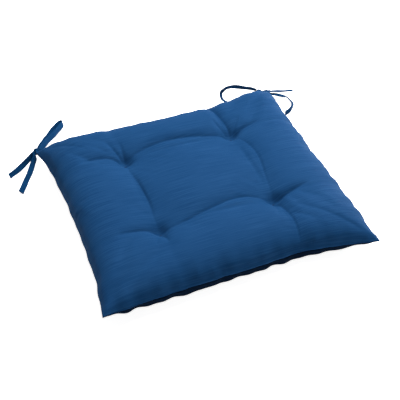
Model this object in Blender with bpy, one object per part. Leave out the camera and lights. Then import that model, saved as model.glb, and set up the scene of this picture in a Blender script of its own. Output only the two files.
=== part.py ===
"""A tufted chair seat pad with a tie bow at each of its two rear corners.

The pad lies on its underside at z = 0, centred on the origin. +X is its right, +Y its rear.
Two fabric panels meet in a knife-edge seam, their allowances turned inwards. A body of fibre fills
them, four stitches of twine draw them together, and each tie is sewn into a corner of the seam.
"""

import math

import bmesh
import bpy
from mathutils import Matrix, Vector

# Overall size, in metres
WIDTH = 0.400  # corner to corner, along X
DEPTH = 0.400  # corner to corner, along Y
HEIGHT = 0.055  # from the seat to the crown
SEAM_HEIGHT = 0.024  # from the seat to the middle of the edge seam
SIDE_PULL = 0.016  # how far the middle of each side draws in from its corners
PULL_FADE = 6  # an even power: the higher, the closer to the edge that the pull stays

# Cover and seam
FABRIC = 0.0008  # thickness of the cloth
ALLOWANCE = 0.010  # cloth turned in behind the seam
SEAM_THREAD = 0.0006  # diameter
SEAM_INSET = 0.0010  # from the cover's edge to the thread's middle
CLOSING_LENGTH = 0.150  # the part of the rear seam that is sewn last, after filling
CLEARANCE = 0.0003  # between pieces that touch
UNDER_CURVE = 1.35  # how quickly the underside falls from the seam to the seat
EDGE_ROOM = 0.0836  # the larger, the further the inner layers draw back at the edge
TAPER_FADE = 40  # an even power: the higher, the closer to the edge that they do

# Tufts
TUFT_SPACING = 0.173  # between neighbouring tufts
TUFT_TOP = 0.034  # height of the upper panel at a tuft
TUFT_BOTTOM = 0.007  # height of the lower panel at a tuft
TUFT_PATCH = 0.006  # half the side of the square of cloth that a tuft draws flat
TOP_REACH = 0.075  # radius of the hollow round a tuft
BOTTOM_REACH = 0.045
TWINE = 0.0012  # diameter
NEEDLE_SPACING = 0.007  # between a tuft's two needle holes
NEEDLE_HOLE = TWINE + 2 * CLEARANCE  # diameter

# Ties
TIE_WIDTH = 0.0095
TIE_THICKNESS = 0.0015
ROOT_PLY = 0.0007  # each of the tie's two layers where the seam presses them
ROOT_FOLD = 0.0020  # the fold at the tie's middle, behind the seam thread
NECK_WIDTH = 0.0055  # between the corner and the knot
NECK_THICKNESS = 0.0030
KNOT_SIZE = (0.0080, 0.0100, 0.0080)  # along the bow, across the tie and through it
STRAND_OFFSET = 0.0022  # from the middle of the knot to each strand
STRAND_LEAD = 0.0035  # how far a strand runs straight out of the knot
STATION_STEP = 0.005  # between the cross-sections of a tie
ROOT_EXIT = 0.0015  # how far outside the corner the root ends and the neck starts
KNOT_ROUND = 0.0016  # radius of the knot's long edges

# Grid lines of the pad's surfaces, as shares of the way from its middle to a tuft and on to its edge
INNER_LINES = (0.40, 0.76)
OUTER_LINES = (0.18, 0.43, 0.67, 0.84, 0.935)

# What follows from the sizes above
SEAM_GAP = SEAM_THREAD + 2 * CLEARANCE
UPPER_RIM = SEAM_HEIGHT + SEAM_GAP / 2
LOWER_RIM = SEAM_HEIGHT - SEAM_GAP / 2
ROOT_HEIGHT = SEAM_GAP + 2 * ROOT_PLY
FLAT_SPOT = 1.5 * TUFT_PATCH  # radius of a tuft's flat spot, which takes in the square's corners

# The flatter the pad is at its edge, the further the inner layers draw back, in their depths
EDGE_TAPER = EDGE_ROOM / min(HEIGHT - UPPER_RIM, UNDER_CURVE * LOWER_RIM)

# Each bow's points are measured from its corner of the pad, with z from the seat. The strands leave
# the knot along its axis, and `across` is the direction of a tie's width there.
BOWS = {
    "left": {
        "side": -1,
        "knot": (-0.0020, 0.0085, 0.0180),
        "axis": (0.68, 0.72, -0.12),
        "across": (0.30, -0.29, -0.91),
        "neck": [(-0.0014, 0.0040, 0.20)],
        "loop_first": -1,
        "loop": [
            (0.0138, 0.0248, 0.0160),
            (0.0237, 0.0387, 0.0135),
            (0.0343, 0.0520, 0.0110),
            (0.0450, 0.0665, 0.0085),
            (0.0532, 0.0785, 0.0065),
            (0.0582, 0.0868, 0.0053),
            (0.0576, 0.0908, 0.0050),
            (0.0528, 0.0892, 0.0050),
            (0.0440, 0.0815, 0.0050),
            (0.0350, 0.0705, 0.0052),
            (0.0255, 0.0570, 0.0068),
            (0.0170, 0.0420, 0.0100),
            (0.0100, 0.0290, 0.0140),
        ],
        "tails": {
            "outer": {
                "strand": 1.3,
                "end_across": (0.25, -0.40, -0.88),
                "points": [
                    (-0.0135, 0.0035, 0.0140),
                    (-0.0205, 0.0000, 0.0105),
                    (-0.0290, -0.0045, 0.0075),
                    (-0.0375, -0.0097, 0.0056),
                    (-0.0460, -0.0152, 0.0047),
                    (-0.0547, -0.0210, 0.0045),
                ],
            },
            "inner": {
                "strand": 0.15,
                "end_across": (0.66, -0.42, -0.62),
                "points": [
                    (-0.0085, -0.0030, 0.0150),
                    (-0.0122, -0.0085, 0.0115),
                    (-0.0158, -0.0142, 0.0088),
                    (-0.0206, -0.0222, 0.0064),
                    (-0.0257, -0.0307, 0.0050),
                    (-0.0308, -0.0398, 0.0042),
                    (-0.0359, -0.0490, 0.0038),
                    (-0.0410, -0.0585, 0.0036),
                    (-0.0461, -0.0677, 0.0036),
                ],
            },
        },
    },
    "right": {
        "side": 1,
        "knot": (-0.0097, 0.0229, 0.0180),
        "axis": (-0.888, 0.383, 0.252),
        "across": (-0.234, -0.738, 0.633),
        "neck": [
            (0.0020, 0.0060, -0.05),
            (-0.0010, 0.0115, -0.1),
            (-0.0065, 0.0150, 0.0),
            (-0.0100, 0.0175, 0.3),
        ],
        "loop_first": 1,
        "loop": [
            (-0.0212, 0.0307, 0.0228),
            (-0.0345, 0.0370, 0.0252),
            (-0.0430, 0.0407, 0.0264),
            (-0.0511, 0.0435, 0.0267),
            (-0.0592, 0.0453, 0.0257),
            (-0.0653, 0.0451, 0.0232),
            (-0.0700, 0.0436, 0.0203),
            (-0.0714, 0.0412, 0.0160),
            (-0.0708, 0.0364, 0.0111),
            (-0.0651, 0.0310, 0.0069),
            (-0.0539, 0.0249, 0.0045),
            (-0.0385, 0.0219, 0.0062),
            (-0.0250, 0.0222, 0.0110),
        ],
        "tails": {
            "straight": {
                "strand": 1,
                "end_across": (-0.234, -0.738, 0.633),
                "points": [
                    (0.0035, 0.0206, 0.0175),
                    (0.0103, 0.0197, 0.0155),
                    (0.0204, 0.0203, 0.0125),
                    (0.0326, 0.0217, 0.0090),
                    (0.0439, 0.0223, 0.0060),
                    (0.0534, 0.0223, 0.0042),
                ],
            },
            "curved": {
                "strand": -1,
                "end_across": (-0.10, -0.60, 0.79),
                "points": [
                    (0.0030, 0.0180, 0.0135),
                    (0.0130, 0.0165, 0.0110),
                    (0.0245, 0.0145, 0.0075),
                    (0.0325, 0.0098, 0.0050),
                    (0.0366, 0.0036, 0.0045),
                    (0.0380, -0.0070, 0.0045),
                    (0.0366, -0.0160, 0.0045),
                    (0.0328, -0.0238, 0.0045),
                    (0.0271, -0.0301, 0.0045),
                    (0.0202, -0.0349, 0.0045),
                    (0.0140, -0.0380, 0.0045),
                ],
            },
        },
    },
}

COVER_BLUE = (0.020, 0.089, 0.240)
TIE_BLUE = (0.010, 0.055, 0.165)
THREAD_BLUE = (0.012, 0.060, 0.180)
FIBRE_WHITE = (0.86, 0.86, 0.84)


def clear_scene():
    for obj in list(bpy.data.objects):
        bpy.data.objects.remove(obj, do_unlink=True)


def make_material(name, colour, roughness):
    material = bpy.data.materials.new(name)
    material.use_nodes = True
    shader = material.node_tree.nodes["Principled BSDF"]
    shader.inputs["Base Color"].default_value = (*colour, 1)
    shader.inputs["Roughness"].default_value = roughness
    shader.inputs["Metallic"].default_value = 0
    material.diffuse_color = (*colour, 1)
    return material


def add_object(name, data, material=None):
    obj = bpy.data.objects.new(name, data)
    bpy.context.scene.collection.objects.link(obj)
    if material:
        data.materials.append(material)
    return obj


def add_mesh(name, bm, material=None):
    """Turns a finished bmesh into a smooth-shaded object."""
    bmesh.ops.recalc_face_normals(bm, faces=bm.faces)
    if bm.calc_volume(signed=True) < 0:
        bmesh.ops.reverse_faces(bm, faces=bm.faces)
    mesh = bpy.data.meshes.new(name)
    bm.to_mesh(mesh)
    bm.free()
    obj = add_object(name, mesh, material)
    mesh.shade_smooth()
    mesh.set_sharp_from_angle(angle=math.radians(40))
    return obj


def make_cutter(obj):
    obj.hide_render = True
    obj.display_type = "WIRE"
    return obj


def combine(obj, other, operation):
    modifier = obj.modifiers.new(f"{operation.lower()}_{other.name}", "BOOLEAN")
    modifier.operation = operation
    modifier.object = other


def add_tube(name, points, diameter, material=None, closed=False):
    """A round cord through the points, with flat ends unless it is closed on itself."""
    curve = bpy.data.curves.new(name, "CURVE")
    curve.dimensions = "3D"
    curve.bevel_depth = diameter / 2
    curve.bevel_resolution = 2
    curve.use_fill_caps = not closed
    spline = curve.splines.new("POLY")
    spline.points.add(len(points) - 1)
    for place, point in zip(spline.points, points):
        place.co = (*point, 1)
    spline.use_cyclic_u = closed
    return add_object(name, curve, material)


# The pad's shape. u and v run from -1 to 1 across its width and depth.


def outline(u, v, inset_x, inset_y):
    """The place in plan at (u, v) on a surface whose edge is set in from the cover's edge."""
    x = u * (WIDTH / 2 - inset_x - SIDE_PULL * u**PULL_FADE * (1 - v * v))
    y = v * (DEPTH / 2 - inset_y - SIDE_PULL * v**PULL_FADE * (1 - u * u))
    return x, y


def layer_plan(u, v, depth):
    """The place in plan on a layer beneath the surface, drawn back where the edge tapers."""
    inset_x = depth * (1 + EDGE_TAPER * u**TAPER_FADE)
    inset_y = depth * (1 + EDGE_TAPER * v**TAPER_FADE)
    return outline(u, v, inset_x, inset_y)


def fullness(u, v):
    """1 over the middle of the pad, falling to 0 along its edge."""
    return math.sqrt(max(0, 1 - u**4) * max(0, 1 - v**4))


def hollow(x, y, reach):
    """1 on the flat spot at each tuft, fading to 0 at the hollow's edge."""
    distance = math.hypot(abs(x) - TUFT_SPACING / 2, abs(y) - TUFT_SPACING / 2)
    return max(0, 1 - max(0, distance - FLAT_SPOT) / (reach - FLAT_SPOT)) ** 2


def crown_height(u, v):
    return UPPER_RIM + (HEIGHT - UPPER_RIM) * fullness(u, v)


def under_height(u, v):
    return max(0, LOWER_RIM * (1 - UNDER_CURVE * fullness(u, v)))


def tuft_share(half_size):
    return TUFT_SPACING / 2 / half_size


def top_height(u, v):
    x, y = layer_plan(u, v, 0)
    at_tuft = crown_height(tuft_share(WIDTH / 2), tuft_share(DEPTH / 2))
    return crown_height(u, v) - (at_tuft - TUFT_TOP) * hollow(x, y, TOP_REACH)


def bottom_height(u, v):
    x, y = layer_plan(u, v, 0)
    return under_height(u, v) + TUFT_BOTTOM * hollow(x, y, BOTTOM_REACH)


def upper_surface(u, v, depth):
    """A point on the upper surface, or on one that lies the given depth beneath it."""
    height = max(UPPER_RIM + depth, top_height(u, v) - depth)
    return Vector((*layer_plan(u, v, depth), height))


def lower_surface(u, v, depth):
    height = min(LOWER_RIM - depth, bottom_height(u, v) + depth)
    return Vector((*layer_plan(u, v, depth), height))


def grid_lines(half_size):
    """Where the surfaces' grid lines run, as shares of the half size: closest where they curve most."""
    tuft = TUFT_SPACING / 2
    near, far = tuft - TUFT_PATCH, tuft + TUFT_PATCH
    inner = [near * share for share in INNER_LINES]
    outer = [far + (half_size - far) * share for share in OUTER_LINES]
    half = [line / half_size for line in (*inner, near, far, *outer, half_size)]
    return [-line for line in reversed(half)] + [0] + half


def unit_grid(bm, level):
    """A square grid from -1 to 1, its lines set by grid_lines, at z = level.

    Each quad is split towards the middle, so that every layer bends along the same lines.
    """
    across, along = grid_lines(WIDTH / 2), grid_lines(DEPTH / 2)
    count = len(across) - 1
    grid = bmesh.ops.create_grid(bm, x_segments=count, y_segments=count, size=1)
    for vert in grid["verts"]:
        column = round((vert.co.x + 1) / 2 * count)
        row = round((vert.co.y + 1) / 2 * count)
        vert.co = (across[column], along[row], level)
    quads = [face for face in bm.faces if round(face.calc_center_median().z) == level]
    for face in quads:
        by_distance = sorted(face.verts, key=lambda vert: vert.co.xy.length)
        bmesh.utils.face_split(face, by_distance[0], by_distance[-1])


def rim_edges(bm, level):
    return [
        edge
        for edge in bm.edges
        if edge.is_boundary and all(round(vert.co.z) == level for vert in edge.verts)
    ]


def pad_layer(levels):
    """A closed solid between two grids, joined at the edge by the rings of the levels between them."""
    bm = bmesh.new()
    last = len(levels) - 1
    unit_grid(bm, 0)
    for level in range(1, last):
        grown = bmesh.ops.extrude_edge_only(bm, edges=rim_edges(bm, level - 1))
        for item in grown["geom"]:
            if isinstance(item, bmesh.types.BMVert):
                item.co.z = level
    unit_grid(bm, last)
    bmesh.ops.bridge_loops(bm, edges=rim_edges(bm, last - 1) + rim_edges(bm, last))
    for vert in bm.verts:
        vert.co = levels[round(vert.co.z)](vert.co.x, vert.co.y)
    return bm


def ring(inset, height):
    return lambda u, v: Vector((*outline(u, v, inset, inset), height))


def make_panel(name, surface, rim, inward, material):
    """A fabric shell whose edge turns in behind the seam as the seam allowance."""
    levels = [
        lambda u, v: surface(u, v, 0),
        ring(ALLOWANCE, rim),
        ring(ALLOWANCE, rim + inward * FABRIC),
        lambda u, v: surface(u, v, FABRIC),
    ]
    return add_mesh(name, pad_layer(levels), material)


def make_filling(material):
    """The fibre, grooved round its edge where the seam allowances lie."""
    depth = FABRIC + CLEARANCE
    groove = ALLOWANCE + CLEARANCE
    levels = [
        lambda u, v: upper_surface(u, v, depth),
        ring(groove, UPPER_RIM + depth),
        ring(groove, LOWER_RIM - depth),
        lambda u, v: lower_surface(u, v, depth),
    ]
    return add_mesh("fibre_filling", pad_layer(levels), material)


# Tufting


def tuft_places():
    half = TUFT_SPACING / 2
    return {
        "front_left": (-half, -half),
        "front_right": (half, -half),
        "rear_left": (-half, half),
        "rear_right": (half, half),
    }


def make_needle_holes():
    bm = bmesh.new()
    for x, y in tuft_places().values():
        for side in (-1, 1):
            centre = Matrix.Translation((x + side * NEEDLE_SPACING / 2, y, HEIGHT / 2))
            bmesh.ops.create_cone(
                bm,
                cap_ends=True,
                segments=12,
                radius1=NEEDLE_HOLE / 2,
                radius2=NEEDLE_HOLE / 2,
                depth=2 * HEIGHT,
                matrix=centre,
            )
    return make_cutter(add_mesh("needle_holes", bm))


def make_tuft_stitch(name, x, y, material):
    """A loop of twine, down through one needle hole and up through the other."""
    bend = CLEARANCE + TWINE / 2
    half = NEEDLE_SPACING / 2 - bend
    corners = [
        (half, TUFT_TOP, 0),
        (-half, TUFT_TOP, 90),
        (-half, TUFT_BOTTOM, 180),
        (half, TUFT_BOTTOM, 270),
    ]
    points = []
    for along, height, start in corners:
        for turn in (0, 30, 60, 90):
            angle = math.radians(start + turn)
            across = along + bend * math.cos(angle)
            points.append((x + across, y, height + bend * math.sin(angle)))
    return add_tube(name, points, TWINE, material, closed=True)


# Edge seam


def seam_side(ends, fixed, lines):
    """Points along one side of the seam, from one end to the other."""
    low, high = ends
    shares = [low] + [line for line in lines if min(ends) < line < max(ends)] + [high]
    if low > high:
        shares[1:-1] = reversed(shares[1:-1])
    points = []
    for share in shares:
        u, v = (share, fixed[1]) if fixed[0] is None else (fixed[0], share)
        points.append(Vector((*outline(u, v, SEAM_INSET, SEAM_INSET), SEAM_HEIGHT)))
    return points


def make_seam_threads(material):
    """The seam's thread: the long run round the pad, and the short run that closes it."""
    across, along = grid_lines(WIDTH / 2), grid_lines(DEPTH / 2)
    half = (CLOSING_LENGTH / 2) / (WIDTH / 2 - SEAM_INSET)
    sides = [
        seam_side((half, 1), (None, 1), across),
        seam_side((1, -1), (1, None), along),
        seam_side((1, -1), (None, -1), across),
        seam_side((-1, 1), (-1, None), along),
        seam_side((-1, -half), (None, 1), across),
    ]
    long_run = sides[0] + [point for side in sides[1:] for point in side[1:]]
    add_tube("edge_seam_thread", long_run, SEAM_THREAD, material)
    half -= CLEARANCE / (WIDTH / 2)
    closing_run = seam_side((-half, half), (None, 1), across)
    add_tube("closing_seam_thread", closing_run, SEAM_THREAD, material)


# Ties


def corner_frame(side):
    """A rear corner: its tip, the direction straight out of it, and half of the angle it makes."""
    tip = Vector((side * WIDTH / 2, DEPTH / 2, SEAM_HEIGHT))
    beside = Vector((-side * 2 * SIDE_PULL, -DEPTH / 2, 0)).normalized()
    behind = Vector((-side * WIDTH / 2, -2 * SIDE_PULL, 0)).normalized()
    outward = -(beside + behind).normalized()
    return tip, outward, beside.angle(behind) / 2


def thread_span(half_angle):
    """How far in from the tip the seam thread lies where it crosses a tie: nearest and furthest."""
    apex = SEAM_INSET * math.sqrt(2)
    room = (SEAM_THREAD / 2 + CLEARANCE) / math.sin(half_angle)
    return apex - room, apex + TIE_WIDTH / 2 / math.tan(half_angle) + room


def box_between(name, start, end, width, height):
    """A box whose two ends are centred on the points, upright, as a cutter."""
    length = (end - start).length
    direction = (end - start).normalized()
    side = Vector((0, 0, 1)).cross(direction)
    frame = Matrix((direction, side, (0, 0, 1))).transposed().to_4x4()
    size = Matrix.Diagonal((length, width, height, 1))
    bm = bmesh.new()
    bmesh.ops.create_cube(bm, size=1, matrix=Matrix.Translation((start + end) / 2) @ frame @ size)
    return make_cutter(add_mesh(name, bm))


def smooth_route(points, step):
    """Points about a step apart on a smooth curve through the route's own points."""
    padded = [2 * points[0] - points[1], *points, 2 * points[-1] - points[-2]]
    route = []
    for before, start, end, after in zip(padded, padded[1:], padded[2:], padded[3:]):
        count = max(1, round((end - start).length / step))
        for index in range(count):
            t = index / count
            linear = end - before
            square = 2 * before - 5 * start + 4 * end - after
            cube = 3 * start - before - 3 * end + after
            route.append((2 * start + linear * t + square * t**2 + cube * t**3) / 2)
    route.append(points[-1])
    return route


def section(centre, tangent, across, width, thickness):
    """The four corners of a tie's cross-section, raised where they would go below the seat."""
    across = (across - tangent * across.dot(tangent)).normalized()
    through = tangent.cross(across)
    corners = []
    for along_width, along_depth in ((-1, -1), (1, -1), (1, 1), (-1, 1)):
        offset = across * along_width * width / 2 + through * along_depth * thickness / 2
        corners.append(centre + offset)
    lift = max(0, CLEARANCE - min(corner.z for corner in corners))
    return [corner + Vector((0, 0, lift)) for corner in corners]


def sweep(sections):
    """A closed solid through the cross-sections, made by extruding its end face to each in turn."""
    bm = bmesh.new()
    start = bm.faces.new([bm.verts.new(corner) for corner in sections[0]])
    face = start
    for previous, current in zip(sections, sections[1:]):
        grown = bmesh.ops.extrude_face_region(bm, geom=[face])
        if face is not start:
            bmesh.ops.delete(bm, geom=[face], context="FACES_ONLY")
        face = next(item for item in grown["geom"] if isinstance(item, bmesh.types.BMFace))
        for vert in face.verts:
            nearest = min(range(4), key=lambda index: (vert.co - previous[index]).length)
            vert.co = current[nearest]
    return bm


def tangents(route):
    ends = [route[0], *route, route[-1]]
    return [(after - before).normalized() for before, after in zip(ends, ends[2:])]


def make_ribbon(name, points, start_across, end_across, material):
    """A flat strip along the route, its width turning evenly from the first direction to the last."""
    route = smooth_route(points, STATION_STEP)
    sections = []
    for index, (centre, tangent) in enumerate(zip(route, tangents(route))):
        across = start_across.lerp(end_across, index / (len(route) - 1))
        sections.append(section(centre, tangent, across, TIE_WIDTH, TIE_THICKNESS))
    return add_mesh(name, sweep(sections), material)


def knot_frame(bow):
    """The knot's middle, its axis, the direction of the ties' width there and of their thickness."""
    corner = Vector((bow["side"] * WIDTH / 2, DEPTH / 2, 0))
    centre = corner + Vector(bow["knot"])
    axis = Vector(bow["axis"]).normalized()
    across = Vector(bow["across"])
    across = (across - axis * across.dot(axis)).normalized()
    return corner, centre, axis, across, axis.cross(across)


def runs_along(edge, axis):
    direction = (edge.verts[0].co - edge.verts[1].co).normalized()
    return abs(direction.dot(axis)) > 0.9


def make_knot_lump(name, bow):
    """The drawn-up knot: a block with rounded edges, flat where the strands leave it."""
    _, centre, axis, across, through = knot_frame(bow)
    frame = Matrix((axis, across, through)).transposed().to_4x4()
    size = Matrix.Diagonal((*KNOT_SIZE, 1))
    bm = bmesh.new()
    bmesh.ops.create_cube(bm, size=1, matrix=Matrix.Translation(centre) @ frame @ size)
    bmesh.ops.bevel(
        bm,
        geom=[edge for edge in bm.edges if runs_along(edge, axis)],
        offset=KNOT_ROUND,
        segments=2,
        profile=0.5,
        affect="EDGES",
        material=-1,
    )
    return make_cutter(add_mesh(name, bm))


def make_knot(name, bow, material):
    """The tie's folded root in the seam, its neck outside the corner, and the knot."""
    tip, outward, half_angle = corner_frame(bow["side"])
    nearest, furthest = thread_span(half_angle)
    root_length = furthest + ROOT_FOLD
    corner, centre, *_ = knot_frame(bow)
    exit_point = tip + outward * ROOT_EXIT
    neck = [exit_point]
    for x, y, share in bow["neck"]:
        height = SEAM_HEIGHT + (bow["knot"][2] - SEAM_HEIGHT) * share
        neck.append(corner + Vector((x, y, height)))
    neck.append(centre)
    route = smooth_route(neck, NECK_THICKNESS)
    level = Vector((0, 0, 1)).cross(outward)
    sections = [section(tip - outward * root_length, outward, level, TIE_WIDTH, ROOT_HEIGHT)]
    sections.append(section(exit_point, outward, level, TIE_WIDTH, ROOT_HEIGHT))
    for centre_line, tangent in list(zip(route, tangents(route)))[1:]:
        flat = Vector((0, 0, 1)).cross(tangent)
        sections.append(section(centre_line, tangent, flat, NECK_WIDTH, NECK_THICKNESS))
    knot = add_mesh(name, sweep(sections), material)
    combine(knot, make_knot_lump(f"{name}_lump", bow), "UNION")
    tunnel = box_between(
        f"{name}_tunnel",
        tip - outward * furthest,
        tip - outward * nearest,
        2 * TIE_WIDTH,
        SEAM_GAP,
    )
    combine(knot, tunnel, "DIFFERENCE")
    slot = box_between(
        f"{name}_slot",
        tip - outward * (root_length + CLEARANCE),
        tip + outward * ALLOWANCE,
        TIE_WIDTH + 2 * CLEARANCE,
        ROOT_HEIGHT + 2 * CLEARANCE,
    )
    return slot


def strand_start(bow, end, strand):
    """Two points that lead a strand straight out of the knot, at one end and on one side of it."""
    _, centre, axis, _, through = knot_frame(bow)
    face = centre + end * axis * (KNOT_SIZE[0] / 2 + CLEARANCE)
    first = face + strand * through * STRAND_OFFSET
    return [first, first + end * axis * STRAND_LEAD]


def make_bow(label, bow, material):
    """The loop and the two tails, which meet the knot face to face."""
    corner, _, _, across, _ = knot_frame(bow)
    out = strand_start(bow, 1, bow["loop_first"])
    back = strand_start(bow, 1, -bow["loop_first"])
    middle = [corner + Vector(point) for point in bow["loop"]]
    make_ribbon(f"tie_loop_{label}", [*out, *middle, *reversed(back)], across, across, material)
    for tail, facts in bow["tails"].items():
        points = strand_start(bow, -1, facts["strand"])
        points += [corner + Vector(point) for point in facts["points"]]
        end_across = Vector(facts["end_across"]).normalized()
        make_ribbon(f"tie_tail_{label}_{tail}", points, across, end_across, material)


def build():
    clear_scene()
    cover = make_material("cover_fabric", COVER_BLUE, 0.75)
    tie = make_material("tie_fabric", TIE_BLUE, 0.8)
    thread = make_material("thread", THREAD_BLUE, 0.6)
    fibre = make_material("fibre", FIBRE_WHITE, 0.95)
    top_panel = make_panel("top_panel", upper_surface, UPPER_RIM, 1, cover)
    bottom_panel = make_panel("bottom_panel", lower_surface, LOWER_RIM, -1, cover)
    filling = make_filling(fibre)
    needle_holes = make_needle_holes()
    for layer in (top_panel, bottom_panel, filling):
        combine(layer, needle_holes, "DIFFERENCE")
    for place, (x, y) in tuft_places().items():
        make_tuft_stitch(f"tuft_stitch_{place}", x, y, thread)
    make_seam_threads(thread)
    for label, bow in BOWS.items():
        slot = make_knot(f"tie_knot_{label}", bow, tie)
        for panel in (top_panel, bottom_panel):
            combine(panel, slot, "DIFFERENCE")
        make_bow(label, bow, tie)


build()
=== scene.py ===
# %% [markdown]
# # A tufted chair seat pad with tie bows
#
# The CAD model fixes the sizes. This lesson dresses it: a padded cover that is blown up by a cloth
# simulation, then plumped, creased and puckered, four tufts, an edge seam and two bows of flat tie.
# The pad lies on its underside at z = 0, with its ties at the rear, +Y. All sizes are in metres.

# %% Load the fixed frame
import math

import bmesh
import bpy
import numpy as np
from mathutils import Matrix, Vector, noise


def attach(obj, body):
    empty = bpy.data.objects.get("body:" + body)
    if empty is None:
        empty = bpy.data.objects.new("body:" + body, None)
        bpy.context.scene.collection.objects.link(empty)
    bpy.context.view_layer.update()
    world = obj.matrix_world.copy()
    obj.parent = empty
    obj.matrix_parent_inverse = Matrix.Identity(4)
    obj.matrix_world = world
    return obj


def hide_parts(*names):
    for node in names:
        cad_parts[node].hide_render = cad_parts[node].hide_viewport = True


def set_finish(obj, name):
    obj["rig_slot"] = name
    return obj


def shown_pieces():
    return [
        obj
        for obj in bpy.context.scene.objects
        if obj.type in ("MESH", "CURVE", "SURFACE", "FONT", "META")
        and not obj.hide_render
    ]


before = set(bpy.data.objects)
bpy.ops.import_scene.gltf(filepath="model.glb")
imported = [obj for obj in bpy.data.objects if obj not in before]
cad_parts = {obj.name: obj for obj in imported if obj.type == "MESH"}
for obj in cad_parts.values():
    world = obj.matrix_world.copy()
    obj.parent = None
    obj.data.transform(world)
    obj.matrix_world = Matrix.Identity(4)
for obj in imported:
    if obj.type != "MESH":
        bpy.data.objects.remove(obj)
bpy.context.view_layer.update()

# %% [markdown]
# ## Camera
#
# A long lens a metre and a half away keeps the pad's far side nearly as large as its near side. The
# camera leans a little, so its matrix is written from its own right, up and backward directions.

# %% Place the camera
CAMERA_PLACE = (-0.35116, -1.11636, 0.96527)
CAMERA_RIGHT = (0.939, -0.340, -0.050)
CAMERA_UP = (0.252, 0.583, 0.772)
CAMERA_BACK = (-0.234, -0.738, 0.633)


def new_object(name, data):
    made = bpy.data.objects.new(name, data)
    bpy.context.scene.collection.objects.link(made)
    return made


lens = bpy.data.cameras.new("studio_camera")
lens.sensor_width = 36
lens.lens = 89.96
camera = new_object("studio_camera", lens)
turn = Matrix((CAMERA_RIGHT, CAMERA_UP, CAMERA_BACK)).transposed()
camera.matrix_world = Matrix.Translation(CAMERA_PLACE) @ turn.to_4x4()
bpy.context.scene.camera = camera
print("camera looks along", [round(-value, 3) for value in CAMERA_BACK])

# %% [markdown]
# ## Sizes shared with the CAD
#
# The cover, the seam and the ties keep the values that the CAD model was built with, so that each
# piece lies where its solid does.

# %% Name the sizes
WIDTH, DEPTH, HEIGHT = 0.400, 0.400, 0.055
SEAM_HEIGHT = 0.024
CORNER_TWIST = 0.005
TUFT = 0.0865
TUFT_TOP = 0.034
TUFT_BOTTOM = 0.007
CLOTH = 0.0008
TIE_WIDTH = 0.0095
TIE_THICKNESS = 0.0015
KNOT_LENGTH = 0.0080
CLEARANCE = 0.0003


def smoothstep(value):
    value = np.clip(value, 0, 1)
    return value * value * (3 - 2 * value)


# %% [markdown]
# ## Finishing a piece
#
# A piece starts as a bmesh. This helper turns it into an object at the origin that rides on the
# CAD's one body, is shaded smooth, and takes its finish from one of the record's slots.

# %% Make a piece from a bmesh
def finish_piece(name, bm, slot, replaced=(), levels=0):
    mesh = bpy.data.meshes.new(name)
    bm.to_mesh(mesh)
    bm.free()
    mesh.shade_smooth()
    piece = new_object(name, mesh)
    if levels:
        smoother = piece.modifiers.new("smoother", "SUBSURF")
        smoother.levels = smoother.render_levels = levels
    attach(piece, "root")
    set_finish(piece, slot)
    if replaced:
        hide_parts(*replaced)
    print(name, len(mesh.polygons), "faces")
    return piece


# %% [markdown]
# ## The ties
#
# Each tie is one strip of cover cloth, folded over its raw edges and topstitched, and tied in a bow.
# A loop or tail could be a curve with a flat bevel, but a curve twists of its own accord. Here a grid
# is laid along the route instead, so that its width turns as the strip really does, and it can
# gather where the knot grips it.

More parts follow.
